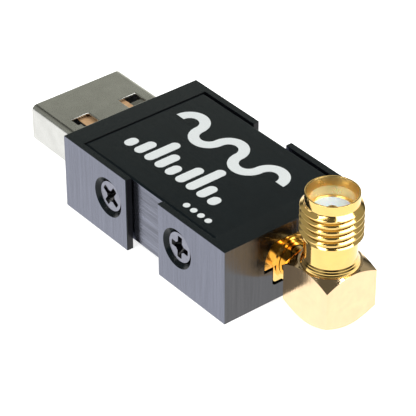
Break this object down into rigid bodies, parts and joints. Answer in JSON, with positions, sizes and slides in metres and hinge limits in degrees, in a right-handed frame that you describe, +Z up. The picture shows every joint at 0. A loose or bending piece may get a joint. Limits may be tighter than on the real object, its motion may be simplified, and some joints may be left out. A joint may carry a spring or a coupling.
{
  "type": "usb spectrum analyzer",
  "caption": "Black aluminium USB receiver stick for spectrum analysis: sleeve between screwed end caps, USB-A plug at one end, swivelling gold right-angle coaxial adapter at the other.",
  "frame": {"origin": "centre of the whole object's bounding box in X and Y, on the plane that the end caps' undersides rest on", "axes": "+X along the housing towards the antenna end, +Y to the left when looking along +X, +Z up out of the printed face"},
  "size_m": [0.0454, 0.0176, 0.0152],
  "materials": {
    "anodised_sleeve": "black anodised, brushed along the length, satin",
    "anodised_cap": "black anodised, brushed upright, satin",
    "screw_black": "black oxide, satin",
    "white_ink": "matt screen-printed ink",
    "board_laminate": "solder mask over laminate",
    "chip_epoxy": "moulded epoxy",
    "can_metal": "plated can",
    "capacitor_ceramic": "ceramic",
    "resistor_black": "coated ceramic",
    "thermal_silicone": "soft silicone",
    "usb_steel": "nickel-plated sheet, satin",
    "usb_plastic": "moulded plastic",
    "contact_gold": "gold flash",
    "ptfe": "white fluoropolymer",
    "gold_plate": "polished gold plate"
  },
  "bodies": {
    "housing": {"sleeve": "anodised_sleeve", "usb_end_cap": "anodised_cap", "antenna_end_cap": "anodised_cap", "screw_usb_right": "screw_black", "screw_usb_left": "screw_black", "screw_antenna_right": "screw_black", "screw_antenna_left": "screw_black", "printed_graphic": "white_ink", "circuit_board": "board_laminate", "tuner_chip": "chip_epoxy", "demodulator_chip": "chip_epoxy", "crystal_oscillator": "can_metal", "memory_chip": "chip_epoxy", "voltage_regulator": "chip_epoxy", "esd_diode": "chip_epoxy", "capacitors": "capacitor_ceramic", "resistors": "resistor_black", "inductors": "resistor_black", "upper_thermal_pad": "thermal_silicone", "lower_thermal_pad": "thermal_silicone", "usb_shell": "usb_steel", "usb_insulator": "usb_plastic", "usb_contact_power": "contact_gold", "usb_contact_data_minus": "contact_gold", "usb_contact_data_plus": "contact_gold", "usb_contact_ground": "contact_gold", "jack_body": "gold_plate", "jack_insulator": "ptfe", "jack_contact": "contact_gold"},
    "collar": {"adapter_collar": "gold_plate"},
    "elbow": {"elbow_block": "gold_plate", "elbow_plug_insulator": "ptfe", "elbow_plug_pin": "contact_gold", "elbow_access_cover": "gold_plate", "sma_barrel": "gold_plate", "sma_insulator": "ptfe", "sma_contact": "contact_gold"}
  },
  "joints": [
    {"name": "adapter_unplug", "type": "slide", "parent": "housing", "child": "collar", "axis": [1, 0, 0], "range_m": [0, 0.006]},
    {"name": "adapter_swivel", "type": "hinge", "parent": "collar", "child": "elbow", "pos_m": [0.01625, 0, 0.0042], "axis": [1, 0, 0], "continuous": true}
  ]
}
